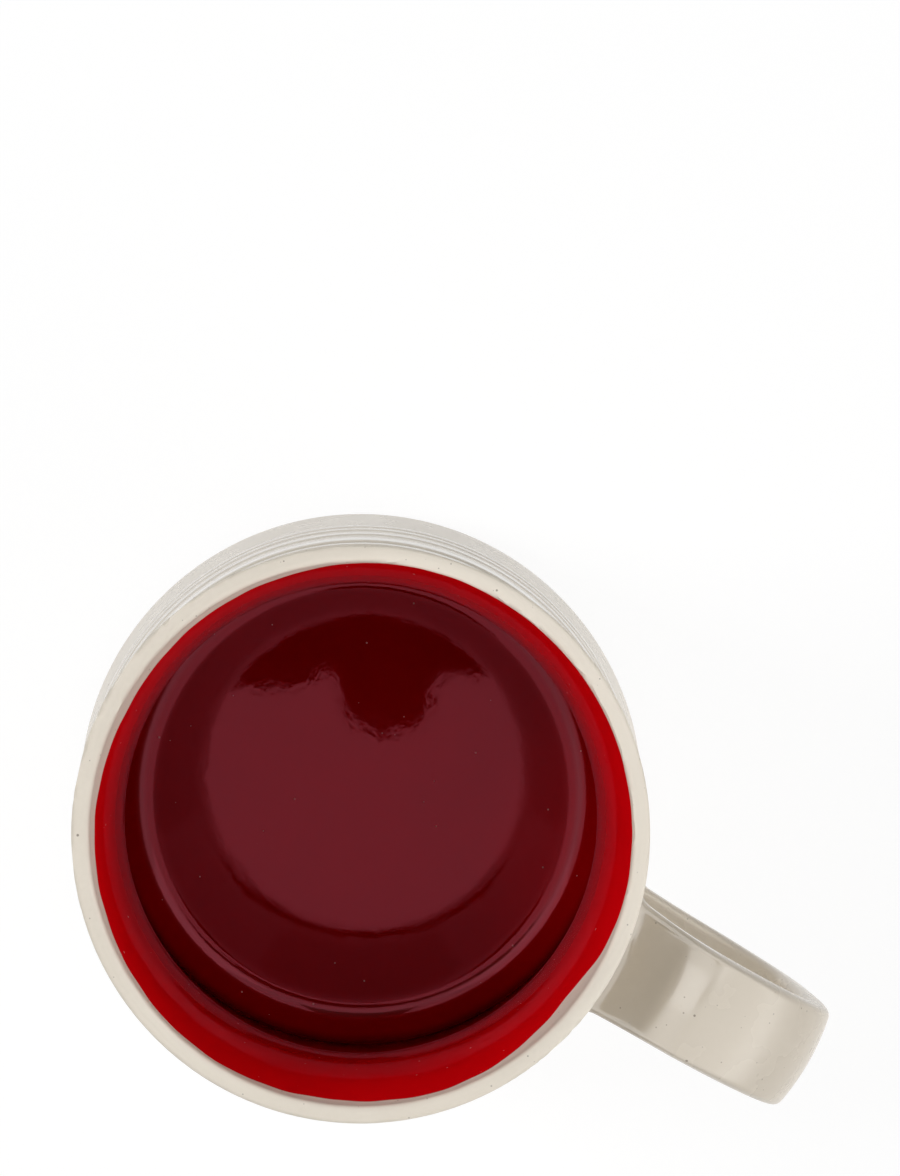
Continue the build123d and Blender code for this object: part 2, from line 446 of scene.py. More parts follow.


# The throwing rings: the height of each groove in millimetres, its share of the full depth, and
# half the width of the shinier band below it, which gets a painted highlight, in millimetres
RINGS = (
    (74.6, 0.8, 1.0),
    (68.8, 1.0, 1.2),
    (62.3, 0.9, 1.4),
    (56.4, 1.0, 2.2),
    (46.2, 0.55, 1.1),
    (39.0, 0.4, 0.75),
    (34.0, 0.35, 0.75),
)
# How far the rings sway up and down, once and twice round, and how much their depth varies
RING_SWAY, RING_SWAY_TWICE, RING_VARIES = 0.35, 0.15, 0.15
# The plain strip between a groove and its band, in millimetres
BAND_OFF = 0.7


def throwing_rings(glaze, height, angle):
    """Shares: the soft grooves, and the shinier bands below them, which get a painted highlight."""
    grooves, highlight_bands = 0, 0
    for number, (level, deep, half) in enumerate(RINGS):
        sway = RING_SWAY * np.cos(angle - number) + RING_SWAY_TWICE * np.cos(2 * angle + 2 * number)
        above = height - (level + sway) * MM
        varied = 1 - RING_VARIES + RING_VARIES * np.cos(angle + 2 * number)
        fade = np.where(above > 0, glaze.ring_width, glaze.ring_step)
        grooves = grooves + deep * varied * hill(above, fade)
        highlight_bands = highlight_bands + np.exp(-(((above / MM + BAND_OFF + half) / half) ** 4))
    return grooves, highlight_bands


def bead(distance, width):
    """A share from 0 to 1 that rises as a quarter round from an edge."""
    near = np.clip(distance / width, 0, 1)
    return np.sqrt(np.clip(1 - (1 - near) ** 2, 0, 1))


def smooth(part):
    """Eases from 0 to 1 with no sudden start or stop."""
    part = np.clip(part, 0, 1)
    return part**3 * (6 * part**2 - 15 * part + 10)


def angles(count):
    """Angles all round, without the last that closes the ring."""
    return np.arange(count) * 2 * math.pi / count


def cream_coat(cup, glaze, outline):
    """The cream glaze from the foot, up the outside and over the lip to the red line."""
    angle = angles(COAT_COLUMNS)[None, :]
    stop = outline.outside(glaze.stop + glaze.stop_wander * waves(angle, FOOT_EDGE))
    edge = red_edge(outline, glaze, angle)
    low = outline.outside(glaze.stop)
    high = outline.within(glaze.red_radius, glaze.thickness)
    lip = outline.run[outline.crest]
    finer = [(lip, *LIP_ROWS), (low, *STOP_ROWS)]
    finer += [(outline.outside(ring[0] * MM), *RING_ROWS) for ring in RINGS]
    rows = outline.rows(low, high, CREAM_GAP, finer)
    part = ((rows - low) / (high - low))[:, None]
    run = stop + (edge - stop) * part
    radius, height, out, up = outline.at(run)
    thick = glaze.thickness * bead(run - stop, COAT_EDGE)
    for shoulder in (-SHOULDER, SHOULDER):
        thick = thick + glaze.lip_fullness * hill(run - lip - shoulder, SHOULDER_WIDTH)
    fuller = FULL_LEAST + FULL_EXTRA * np.clip(np.cos(angle - FULL_SIDE), 0, 1)
    thick = thick + fuller * hill(run - lip - FULL_PLACE, FULL_WIDTH)
    outside = run < lip
    grooves, highlight_bands = throwing_rings(glaze, height, angle)
    push = sunk(angle, height) - glaze.ring_depth * grooves
    grown = thick + push * bead(run - stop, BODY_EDGE) * outside
    skin = spun(radius + out * grown, height + up * grown, angle)
    back_rows = np.linspace(0, 1, CREAM_BACK)[::-1][:, None]
    back = outline.at(stop + (edge - stop) * back_rows)
    nothing = 0 * back[0]
    lining = spun(back[0], back[1], angle + nothing)
    mesh = closed_grid("cream_coat", np.concatenate([skin, lining]), loop=True)
    for name, front, behind in (
        ("from_red", (edge - run) / MM, (edge + nothing) / MM),
        ("from_lip", (run - lip) / MM, nothing),
        ("groove", grooves * outside, nothing),
        ("highlight_band", highlight_bands * outside, nothing),
    ):
        set_values(mesh, name, np.concatenate([front, behind]))
    return mesh


def red_lining(cup, glaze, outline):
    """The red glaze from its line below the lip down to the middle of the floor."""
    angle = angles(COAT_COLUMNS)[None, :]
    edge = red_edge(outline, glaze, angle)
    high = outline.within(glaze.red_radius, glaze.thickness)
    end = outline.run[-1]
    corner = outline.inside(cup.corner_height + cup.corner_round * 0.4)
    finer = ((corner, *CORNER_ROWS), (high, *RED_EDGE_ROWS))
    rows = outline.rows(high, end, RED_GAP, finer)
    part = ((rows - high) / (end - high))[:-1, None]
    run = edge + (end - edge) * part
    radius, height, out, up = outline.at(run)
    lean = glaze.floor_lean * (1 + radius / cup.corner_radius * np.cos(angle - FLOOR_LEAN)) * up**8
    thick = glaze.thickness + lean
    skin = spun(radius + out * thick, height + up * thick, angle)
    back_run = edge + (end - edge) * np.linspace(0, RED_BACK_END, RED_BACK)[::-1][:, None]
    back = outline.at(back_run)
    lining = spun(back[0], back[1], angle)
    top = outline.points[-1][1]
    poles = ((0, 0, top), (0, 0, top + glaze.thickness + glaze.floor_lean))
    mesh = closed_grid("red_lining", np.concatenate([lining, skin]), poles=poles)
    from_red = np.concatenate([back_run - edge, run - edge]) / MM
    set_values(mesh, "from_red", np.r_[from_red.ravel(), FAR, FAR])
    # Painted highlight: where the paler red ring on the floor's corner lies
    ring_highlight = hill(radius - RING_HIGHLIGHT_RADIUS, RING_HIGHLIGHT_WIDTH) * (height < cup.height / 2)
    set_values(mesh, "ring_highlight", np.r_[0 * back_run.ravel(), ring_highlight.ravel(), 0, 0])
    return mesh


def foot_patch(cup, glaze):
    """The glaze inside the foot's recess, with a dipped pot's uneven edge."""
    angle = angles(PATCH_COLUMNS)[None, :]
    reach = cup.recess_radius + PATCH_STRAY * (waves(angle, FOOT_EDGE) - PATCH_IN)
    part = (1 - (1 - np.linspace(PATCH_START, 1, PATCH_ROWS)) ** 1.6)[:, None]
    radius = reach * part
    thick = glaze.thickness * bead(reach - radius, PATCH_EDGE)
    under = spun(radius, cup.recess_height - thick, angle)
    above = spun(radius[::-4], cup.recess_height + 0 * radius[::-4], angle)
    poles = ((0, 0, cup.recess_height - glaze.thickness), (0, 0, cup.recess_height))
    return closed_grid("foot_patch", np.concatenate([under, above]), poles=poles)


# -------- handle

# The middle line's corners, as shares of the loop's reach beyond the neck and of its height,
# and the bends at them as shares of its height
LOOP_SHARES = ((0.375, 1.083), (0.9415, 1.0773), (1, 0.6233), (0.875, 0.2077))
BEND_SHARES = (0.3463, 0.2909, 1.1081, 0.374)
# How far the line runs on into the wall, and how far its changes of bend are softened
IN_WALL, LINE_BLUR = 4 * MM, 2.5 * MM
# The skin's columns and rows, how much the rows crowd to its ends, and how finely those are found
HANDLE_COLUMNS, HANDLE_ROWS, CROWDED, EVEN, TRIAL_STEPS = 96, 220, 0.55, 0.45, 1500
# How much fuller the whole skin gets near the wall
MELTED = 0.35 * MM
# The fillet of clay right in the corner: its share of the flare, and its reach
CORNER_SHARE, CORNER_REACH = 0.56, 1.8 * MM
# How far out the strap's wider left side reaches, at the top and at the foot
SPREAD_TOP, SPREAD_FOOT = 18 * MM, 2.5 * MM
# Where the swell on top starts and ends, and the lengths over which it rises and falls
SWELL_START, SWELL_RISE, SWELL_END, SWELL_FALL = 50 * MM, 14 * MM, 84 * MM, 22 * MM
# How quickly faces that look down or up count as the underside or the top
UNDERSIDE, TOPSIDE = 1.6, 1.2
# How far out the skin is drawn in to the wall, and how deep its last two rows lie in it
DRAWN_IN, BURIED = 1.6 * MM, (0.5 * MM, 0.04 * MM)


def rounded_path(corners, bends):
    """Points along straight runs joined by tangent arcs."""
    pieces = [corners[:1]]
    for before, corner, after, radius in zip(corners, corners[1:], corners[2:], bends):
        into, away = unit(corner - before), unit(after - corner)
        turn = math.acos(into @ away)
        trim = radius * math.tan(turn / 2)
        pieces.append(bend(corner - into * trim, into, corner + away * trim, steps=200))
    pieces.append(corners[-1:])
    return pieces


def loop_line(cup, handle, outline):
    """The strap's middle line in the upright plane, with the direction that faces outwards."""
    height = handle.top - handle.foot
    reach = handle.reach - cup.neck_radius
    corners = [
        (cup.neck_radius + reach * out, handle.foot + height * up) for out, up in LOOP_SHARES
    ]
    ends = []
    for level in (handle.top, handle.foot):
        place = outline.at(outline.outside(level))
        ends.append((place[0] - IN_WALL, level))
    corners = np.array([ends[0], *corners, ends[1]])
    line = tidy_line(rounded_path(corners, [height * s for s in BEND_SHARES]), blur=LINE_BLUR)
    return line, distances(line), left_of(np.gradient(line, axis=0))


def strap_outline(handle, glaze, columns):
    """The glazed strap's section: across and outwards, and the outward normal of each point."""
    wide = handle.width / 2 + glaze.thickness
    side = handle.depth / 2 + glaze.thickness - handle.crown
    lean = 2 * math.atan(handle.crown / wide)
    along = np.array([-math.cos(lean), math.sin(lean)])
    corner = np.array([wide, side])
    trim = (handle.edge + glaze.thickness) * math.tan((math.pi / 2 - lean) / 2)
    into, out = corner + along * trim, corner - (0, min(trim, side * 0.98))
    crown = bend((0, side + handle.crown), (1, 0), into)
    quarter = np.concatenate([crown, bend(into, -along, out), bend(out, (0, -1), (wide, 0))])
    half = np.concatenate([quarter, (quarter * (1, -1))[::-1]])
    whole = np.concatenate([half, (half * (-1, 1))[::-1]])
    step = np.hypot(*np.diff(whole, axis=0).T)
    whole, run = whole[np.r_[True, step > TINY]], np.r_[0, np.cumsum(step[step > TINY])]
    even = np.arange(columns) * run[-1] / columns
    points = np.stack(read(whole, run, even), 1)
    return points, left_of(np.roll(points, -1, 0) - np.roll(points, 1, 0))


def fading(gap, reach):
    """A share that falls evenly from 1 at the wall to 0 at this reach."""
    return np.clip(1 - gap / reach, 0, 1)


def swollen(handle, points, normals, gap, upper):
    """The strap's skin moved out where clay was added: the flares, the swell and the ends."""
    growth = MELTED * (1 - bead(gap, 3 * handle.flare_reach) ** 2)
    growth += handle.flare * fading(gap, handle.flare_reach) ** 2
    growth += handle.flare * CORNER_SHARE * fading(gap, CORNER_REACH) ** 2
    left = np.clip(normals[:, 1], 0, 1)
    growth += handle.spread * left * fading(gap, np.where(upper, SPREAD_TOP, SPREAD_FOOT)) ** 2
    moved = points + normals * growth[:, None]
    out = points[:, 0]
    swell = smooth((out - SWELL_START) / SWELL_RISE) * smooth((SWELL_END - out) / SWELL_FALL)
    moved[:, 2] += handle.swell * swell * np.clip(normals[:, 2] * TOPSIDE, 0, 1) * upper
    under = np.clip(-normals[:, 2] * UNDERSIDE, 0, 1)
    moved[:, 2] -= handle.thumbed * under * fading(gap, 2 * handle.flare_reach)
    return moved


def handle_glaze(cup, glaze, handle, outline):
    """The glazed handle, which melts into the wall with a hollow curve at both ends."""
    line, run, facing = loop_line(cup, handle, outline)
    section, lean = strap_outline(handle, glaze, HANDLE_COLUMNS)
    turned = np.array(Matrix.Rotation(handle.skew, 3, "Z"))

    def place(distance, column):
        """The strap's skin and its normals at distances along it, for one of its columns."""
        middle, face = read(line, run, distance), read(facing, run, distance)
        back = np.sin(np.clip(distance / run[-1], 0, 1) * math.pi)
        across = section[column, 0] * (1 - handle.waist / handle.width * back)
        points = [middle[i] + face[i] * section[column, 1] for i in (0, 1)]
        normals = [face[i] * lean[column, 1] for i in (0, 1)]
        points = np.stack([points[0], across, points[1]], -1)
        normals = np.stack([normals[0], lean[column, 0] + 0 * across, normals[1]], -1)
        return points @ turned.T + (0, handle.aside, 0), normals @ turned.T

    def clear(points):
        """How far points stand off the glazed wall."""
        radius = np.hypot(points[..., 0], points[..., 1])
        wall = outline.at(outline.outside(points[..., 2]))
        return (radius - wall[0]) * wall[2] - glaze.thickness

    grid = np.empty((HANDLE_ROWS, HANDLE_COLUMNS, 3))
    even = np.linspace(0, 1, HANDLE_ROWS)
    part = CROWDED * (0.5 - 0.5 * np.cos(even * math.pi)) + EVEN * even
    trial = np.linspace(0, run[-1], TRIAL_STEPS)
    for column in range(HANDLE_COLUMNS):
        outside = clear(place(trial, column)[0]) > 0
        first, last = np.argmax(outside), len(trial) - 1 - np.argmax(outside[::-1])
        along = trial[first] + (trial[last] - trial[first]) * part
        points, normals = place(along, column)
        gap = np.clip(clear(points), 0, None)
        moved = swollen(handle, points, normals, gap, along < run[-1] / 2)
        sink = clear(moved) * fading(gap, DRAWN_IN) ** 2
        radial = moved[:, :2] / np.hypot(*moved[:, :2].T)[:, None]
        moved[:, :2] -= radial * sink[:, None]
        for row, deep in enumerate(BURIED):
            ends = [row, -1 - row]
            moved[ends, :2] -= radial[ends] * deep
        grid[:, column] = moved
    poles = (grid[0].mean(0), grid[-1].mean(0))
    return closed_grid("handle_coat", grid, poles=poles)


# -------- materials

# Tints laid over the glazes' own colours: the groove tint is painted shade, the band and ring tints
# are painted highlights, and the lip tint is painted light
PAINTED_GROOVE_SHADE, PAINTED_BAND_HIGHLIGHT = (0.40, 0.37, 0.32), (0.95, 0.93, 0.88)
PAINTED_LIP_LIGHT, CREAM_BY_RED = (0.77, 0.70, 0.595), (0.50, 0.22, 0.19)
CLOUDY_RED, PAINTED_RING_HIGHLIGHT = (0.05, 0.0, 0.001), (0.36, 0.06, 0.07)
RED_BY_CREAM, PALE_SPECK = (0.42, 0.10, 0.09), (0.80, 0.50, 0.46)
CLOUDY_CLAY, GROG = (0.40, 0.29, 0.20), (0.62, 0.52, 0.42)
RED_MIRROR = (1.0, 0.18, 0.26, 1.0)


def blank_material(name):
    """A material without nodes."""
    material = bpy.data.materials.new(name)
    material.use_nodes = True
    material.node_tree.nodes.clear()
    return material


class Nodes:
    """Builds up a node tree."""

    def __init__(self, tree):
        self.tree = tree

    def put(self, socket, value):
        """Joins an output to a socket, or sets a plain value on it."""
        if isinstance(value, bpy.types.NodeSocket):
            self.tree.links.new(value, socket)
        else:
            socket.default_value = value

    def add(self, kind, inputs=None, **settings):
        """A node with these settings, and with outputs or plain values put on its inputs."""
        node = self.tree.nodes.new(kind)
        for name, value in settings.items():
            setattr(node, name, value)
        for name, value in (inputs or {}).items():
            self.put(node.inputs[name], value)
        return node

    def ramp(self, value, low, high, start=0.0, end=1.0):
        """A smooth step from start, where value is low, to end, where it is high."""
        inputs = {"Value": value, "From Min": low, "From Max": high, "To Min": start, "To Max": end}
        node = self.add("ShaderNodeMapRange", inputs, interpolation_type="SMOOTHSTEP")
        return node.outputs["Result"]

    def math(self, operation, first, second):
        """Two values put together by this operation."""
        node = self.add("ShaderNodeMath", {0: first, 1: second}, operation=operation)
        return node.outputs["Value"]

    def times(self, first, second):
        """One value times the other."""
        return self.math("MULTIPLY", first, second)

    def seen_directly(self):
        """1 for camera, glossy and transmission rays, and 0 for the rest."""
        path = self.add("ShaderNodeLightPath").outputs
        seen = self.math("MAXIMUM", path["Is Camera Ray"], path["Is Glossy Ray"])
        return self.math("MAXIMUM", seen, path["Is Transmission Ray"])


class Recipe(Nodes):
    """Builds one of the mug's materials."""

    def __init__(self, name):
        self.material = blank_material(name)
        super().__init__(self.material.node_tree)
        self.shader = self.add("ShaderNodeBsdfPrincipled")
        self.add("ShaderNodeOutputMaterial", {"Surface": self.shader.outputs["BSDF"]})
        self.place = self.add("ShaderNodeTexCoord").outputs["Object"]

    def noise(self, size, detail=2.0):
        """A cloud whose lumps are about this many millimetres across."""
        inputs = {"Vector": self.place, "Scale": 1 / (size * MM), "Detail": detail}
        return self.add("ShaderNodeTexNoise", inputs).outputs["Fac"]

    def mix(self, factor, first, second):
        """The first colour with this share of the second over it."""
        node = self.add("ShaderNodeMix", {"Factor": factor}, data_type="RGBA")
        colours = [socket for socket in node.inputs if socket.type == "RGBA"]
        for socket, value in zip(colours, (first, second)):
            self.put(socket, value if isinstance(value, bpy.types.NodeSocket) else (*value, 1))
        return next(socket for socket in node.outputs if socket.type == "RGBA")

    def specks(self, spacing, share_shown, small, large):
        """Scattered round specks, in millimetres: 1 on a speck and 0 off it."""
        inputs = {"Vector": self.place, "Scale": 1 / (spacing * MM)}
        cells = self.add("ShaderNodeTexVoronoi", inputs).outputs
        split = self.add("ShaderNodeSeparateColor", {"Color": cells["Color"]}).outputs
        chosen = self.math("LESS_THAN", split["Red"], share_shown)
        size = self.ramp(split["Green"], 0, 1, small / spacing, large / spacing)
        distance = self.math("DIVIDE", cells["Distance"], size)
        return self.times(self.ramp(distance, 0.6, 1.0, 1.0, 0.0), chosen)

    def attribute(self, name):
        """The number stored at each point under this name."""
        return self.add("ShaderNodeAttribute", attribute_name=name).outputs["Fac"]

    def height(self):
        """The height above the table, in metres."""
        return self.add("ShaderNodeSeparateXYZ", {"Vector": self.place}).outputs["Z"]

    def bump(self, *layers):
        """Stacks bumps, each (relief, distance in millimetres, strength)."""
        inputs = {}
        for relief, distance, strength in layers:
            inputs |= {"Height": relief, "Distance": distance * MM, "Strength": strength}
            inputs["Normal"] = self.add("ShaderNodeBump", inputs).outputs["Normal"]
        self.put(self.shader.inputs["Normal"], inputs["Normal"])

    def finish(self, **values):
        """Sets the shader's own sockets, by name with _ for a space."""
        for name, value in values.items():
            self.put(self.shader.inputs[name.replace("_", " ")], value)
        return self.material


def cream_glaze_material(glaze):
    """Cream glaze over speckled clay: cloudy, thinner in places, with iron specks and pits, darker
    towards the strap's top, painted shade in the ring grooves and painted light on the bands and
    the lip's inner side.
    """
    made = Recipe("speckled_cream")
    cloud = made.ramp(made.noise(14, 3), 0.3, 0.75, 0.0, 0.16)
    grain = made.ramp(made.noise(0.9), 0.25, 0.8, 0.0, 0.08)
    base = made.mix(cloud, glaze.cream, glaze.cream_thin)
    base = made.mix(grain, base, glaze.cream_thin)
    strap = made.attribute("strap")
    # The strap's cream turns darker towards its top
    strap_darkening = made.times(strap, made.ramp(made.height(), 60 * MM, 88 * MM, 0.0, 0.6))
    base = made.mix(strap_darkening, base, glaze.cream_thin)
    # Painted shade: the cream darkens in the throwing rings' grooves
    deep = made.ramp(made.attribute("groove"), 0.2, 0.8, 0.0, 0.4)
    base = made.mix(deep, base, PAINTED_GROOVE_SHADE)
    # Painted highlight: the band below each groove is lighter, and less rough
    highlight_band = made.ramp(made.attribute("highlight_band"), 0.2, 0.8)
    base = made.mix(made.times(highlight_band, 0.2), base, PAINTED_BAND_HIGHLIGHT)
    # Painted light: the cream is lighter on the lip's inner side near the red, where the lip faces
    # the dark inside
    lip_light = made.ramp(made.attribute("from_red"), 0.2, 4.5, 0.85, 0.0)
    base = made.mix(lip_light, base, PAINTED_LIP_LIGHT)
    halo = made.ramp(made.attribute("from_red"), 0.0, 0.28, 0.6, 0.0)
    base = made.mix(halo, base, CREAM_BY_RED)
    small = made.specks(1.3, 0.38, 0.09, 0.19)
    large = made.specks(2.6, 0.24, 0.14, 0.28)
    dark = made.math("MAXIMUM", made.times(small, 0.5), made.times(large, 0.75))
    base = made.mix(dark, base, glaze.speck)
    pits = made.specks(2.5, 0.22, 0.2, 0.45)
    made.bump(
        (made.noise(5), 0.02, 0.2),
        (made.noise(1.2), 0.002, 0.2),
        (made.math("SUBTRACT", 1.0, pits), 0.02, 0.3),
    )
    rough = made.ramp(made.noise(9, 3), 0.3, 0.7, 0.26, 0.30)
    top = made.times(strap, made.ramp(made.height(), 80 * MM, 88 * MM))
    top = made.times(top, made.ramp(made.attribute("out"), 57.5, 61.5, 1.0, 0.1))
    rough = made.times(rough, made.ramp(top, 0.0, 1.0, 1.0, 0.33))
    rough = made.times(rough, made.ramp(highlight_band, 0.0, 1.0, 1.0, 0.1))
    rough = made.math("MAXIMUM", rough, deep)
    lip = made.ramp(made.attribute("from_lip"), -3.4, -2.0, 0.0, 0.45)
    rough = made.math("MAXIMUM", rough, lip)
    return made.finish(Base_Color=base, Roughness=rough, Specular_IOR_Level=0.43)


def red_glaze_material(glaze, cup):
    """Deep red glaze, thin and bright near the lip, with painted shade that darkens it low on the
    wall.
    """
    made = Recipe("glossy_red")
    # Painted shade: the red darkens from near the lip down to the lower wall
    upper = made.ramp(made.height(), 52 * MM, cup.height - 6 * MM)
    wall = made.ramp(made.height(), cup.corner_height + 3.2 * MM, cup.corner_height + 7 * MM)
    cloud = made.ramp(made.noise(11, 3), 0.25, 0.75, 0.92, 1.0)
    base = made.mix(upper, glaze.red_shaded, glaze.red)
    base = made.mix(wall, glaze.red_floor, base)
    base = made.mix(cloud, CLOUDY_RED, base)
    # Painted highlight: a ring of paler red on the floor's rounded corner
    base = made.mix(made.attribute("ring_highlight"), base, PAINTED_RING_HIGHLIGHT)
    halo = made.ramp(made.attribute("from_red"), 0.0, 0.35, 0.6, 0.0)
    base = made.mix(halo, base, RED_BY_CREAM)
    pale = made.specks(2, 0.16, 0.12, 0.24)
    base = made.mix(made.times(pale, 0.7), base, PALE_SPECK)
    made.bump(
        (made.noise(6), 0.02, 0.35),
        (made.noise(2.2), 0.015, 0.6),
        (made.noise(0.8), 0.005, 0.6),
        (pale, 0.04, 0.6),
    )
    rough = made.ramp(made.noise(8, 3), 0.3, 0.7, 0.03, 0.05)
    return made.finish(
        Base_Color=base, Roughness=rough, Specular_IOR_Level=0.2, Specular_Tint=RED_MIRROR
    )


def bare_clay_material(glaze):
    """Fired stoneware with fine grog and a dry surface."""
    made = Recipe("fired_clay")
    cloud = made.ramp(made.noise(12, 4), 0.3, 0.7, 0.0, 0.5)
    base = made.mix(cloud, glaze.clay, CLOUDY_CLAY)
    grog = made.specks(0.9, 0.35, 0.10, 0.25)
    iron = made.specks(2.6, 0.35, 0.08, 0.3)
    base = made.mix(made.times(grog, 0.45), base, GROG)
    base = made.mix(made.times(iron, 0.7), base, glaze.speck)
    made.bump((made.noise(0.35, 4), 0.04, 0.7), (grog, 0.03, 0.5))
    return made.finish(Base_Color=base, Roughness=0.82, Specular_IOR_Level=0.3)


# -------- operators


def settings():
    """The scene's cup, glaze, handle and studio settings."""
    scene = bpy.context.scene
    return scene.mug_cup, scene.mug_glaze, scene.mug_handle, scene.mug_studio


def shared_material(name, build, *values):
    """The material of that name, built once."""
    return bpy.data.materials.get(name) or build(*values)


class MugClay(bpy.types.Operator):
    """Gives the packed clay pieces their fired stoneware surface"""

    bl_idname = "mug.clay"
    bl_label = "Bare clay"

    def execute(self, context):
        _, glaze, _, _ = settings()
        clay = shared_material("fired_clay", bare_clay_material, glaze)
        for name in ("thrown_body", "handle_strap", "upper_handle_joint", "lower_handle_joint"):
            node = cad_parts[name]
            node.data.materials.clear()
            node.data.materials.append(clay)
        return {"FINISHED"}


class MugCreamCoat(bpy.types.Operator):
    """Lays the cream glaze over the outside and the lip"""

    bl_idname = "mug.cream_coat"
    bl_label = "Cream coat"

    def execute(self, context):
        cup, glaze, _, _ = settings()
        cream = shared_material("speckled_cream", cream_glaze_material, glaze)
        mesh = cream_coat(cup, glaze, Outline(cup))
        add_piece("cream_coat", mesh, cream, "cream_glaze", "cream_glaze_coat")
        return {"FINISHED"}


class MugRedLining(bpy.types.Operator):
    """Lays the red glaze over the inside"""

    bl_idname = "mug.red_lining"
    bl_label = "Red lining"

    def execute(self, context):
        cup, glaze, _, _ = settings()
        red = shared_material("glossy_red", red_glaze_material, glaze, cup)
        mesh = red_lining(cup, glaze, Outline(cup))
        add_piece("red_lining", mesh, red, "red_glaze", "red_glaze_lining")
        return {"FINISHED"}


class MugHandle(bpy.types.Operator):
    """Lays the cream glaze over the handle and melts it into the wall"""

    bl_idname = "mug.handle"
    bl_label = "Handle glaze"

    def execute(self, context):
        cup, glaze, handle, _ = settings()
        cream = shared_material("speckled_cream", cream_glaze_material, glaze)
        mesh = handle_glaze(cup, glaze, handle, Outline(cup))
        far_from_edges(mesh)
        set_values(mesh, "strap", np.ones(len(mesh.vertices)))
        set_values(mesh, "out", [corner.co.x / MM for corner in mesh.vertices])
        add_piece("handle_coat", mesh, cream, "cream_glaze", "handle_glaze")
        return {"FINISHED"}


class MugFootPatch(bpy.types.Operator):
    """Lays the glaze inside the foot's recess"""

    bl_idname = "mug.foot_patch"
    bl_label = "Foot patch"

    def execute(self, context):
        cup, glaze, _, _ = settings()
        cream = shared_material("speckled_cream", cream_glaze_material, glaze)
        mesh = foot_patch(cup, glaze)
        far_from_edges(mesh)
        add_piece("foot_patch", mesh, cream, "cream_glaze", "foot_recess_glaze")
        return {"FINISHED"}


# -------- studio

# The photograph's frame, and where straight down and the lip's middle show in it, in pixels
FRAME_PIXELS = (900, 1176)
FOCAL_PIXELS = 5550
DOWN_PIXEL = (363, 464)
LIP_PIXEL = (360.9, 834.7)
SENSOR_WIDTH = 36
# The image's right, its top and up are the studio's own directions, turned into the mug's frame
STUDIO_TURN = Matrix.Rotation(math.radians(28.4), 3, "Z")
# The softboxes: each one's place, its two sizes, the setting for its glow and a share of that,
# and what light it gives
LAMPS = (
    ("gloss_box", (0, 0, 1.9), (24, 24), "gloss", 1, "glossy"),
    ("gloss_side", (2.2, -1.2, 0.17), (5, 0.5), "gloss", 1, "glossy"),
    ("fill_box", (0.95, -0.5, 0.2), (0.9, 0.5), "fill", 1, "diffuse"),
    ("gloss_left", (-0.82, 0.52, 1.75), (0.6, 1.1), "gloss", 0.6, "glossy"),
    ("gloss_right", (0.82, 0.52, 1.75), (0.6, 1.1), "gloss", 0.6, "glossy"),
    ("key_box", (-0.78, 0.17, 1.1), (0.3, 0.3), "key", 1, "diffuse"),
)
# The point on the mug's axis that the lamps face
AIM = Vector((0, 0, 80 * MM))
# The floor's half width, how far it lies under the foot, and its colour
FLOOR_HALF, FLOOR_DROP, FLOOR_COLOUR = 3.0, 0.02 * MM, (0.9, 0.9, 0.9, 1)
# The outlines of two dark cards, in millimetres to the image's right and top of the camera, and
# how far above it they lie
NEAR_FLAG = (
    *((190, 0), (115, 5), (75, 5), (62, -8), (61, -28), (46, -48), (12, -58), (-18, -46)),
    *((-32, -22), (-38, 3), (-50, 8), (-72, -7), (-120, -9), (-190, -5), (-190, 85), (190, 85)),
)
FAR_FLAG = ((130, 330), (-130, 330), (-170, 850), (170, 850))
FLAG_ABOVE = 30 * MM


def camera_pose(cup, studio):
    """The camera's place and turn, from where straight down and the lip's middle show."""
    centre = Vector(FRAME_PIXELS) / 2

    def ray(pixel):
        """The way from the camera, in its own frame, to what this pixel shows."""
        return Vector((pixel[0] - centre.x, centre.y - pixel[1], -FOCAL_PIXELS)).normalized()

    down = Vector((0, 0, -1))
    tilt = (STUDIO_TURN @ ray(DOWN_PIXEL)).rotation_difference(down).to_matrix()
    turned = tilt @ STUDIO_TURN
    look = turned @ ray(LIP_PIXEL)
    place = Vector((0, 0, cup.height)) - look * (studio.camera_height / -look.z)
    return Matrix.Translation(place) @ turned.to_4x4()


def floor_material(studio):
    """A pale matt surface that shows as white, with part of its shading kept."""
    material = blank_material("pale_floor")
    made = Nodes(material.node_tree)
    matt = made.add("ShaderNodeBsdfDiffuse", {"Color": FLOOR_COLOUR}).outputs["BSDF"]
    glow = made.add("ShaderNodeEmission", {"Strength": studio.floor}).outputs["Emission"]
    part = made.times(made.seen_directly(), 1 - studio.shadow)
    mix = made.add("ShaderNodeMixShader", {"Fac": part, 1: matt, 2: glow})
    made.add("ShaderNodeOutputMaterial", {"Surface": mix.outputs["Shader"]})
    return material


def build_world(studio):
    """Even light all round, which reflections and the camera see as white."""
    world = bpy.data.worlds.new("studio_sky")
    bpy.context.scene.world = world
    world.use_nodes = True
    made = Nodes(world.node_tree)
    sky = world.node_tree.nodes["Background"].inputs
    made.put(sky["Color"], (1, 1, 1, 1))
    made.put(sky["Strength"], made.ramp(made.seen_directly(), 0, 1, studio.sky, studio.white))


def add_lamp(name, place, sizes, glow, seen):
    """A softbox aimed at the mug, of two sizes in metres, for glossy or diffuse light."""
    lamp = bpy.data.lights.new(name, "AREA")
    lamp.shape = "RECTANGLE"
    lamp.size, lamp.size_y = sizes
    lamp.energy = glow * math.pi * sizes[0] * sizes[1]
    holder = bpy.data.objects.new(name, lamp)
    bpy.context.scene.collection.objects.link(holder)
    holder.location = place
    holder.rotation_euler = (AIM - place).to_track_quat("-Z", "Y").to_euler()
    holder.visible_camera = False
    holder.visible_diffuse = seen == "diffuse"
    holder.visible_glossy = seen == "glossy"


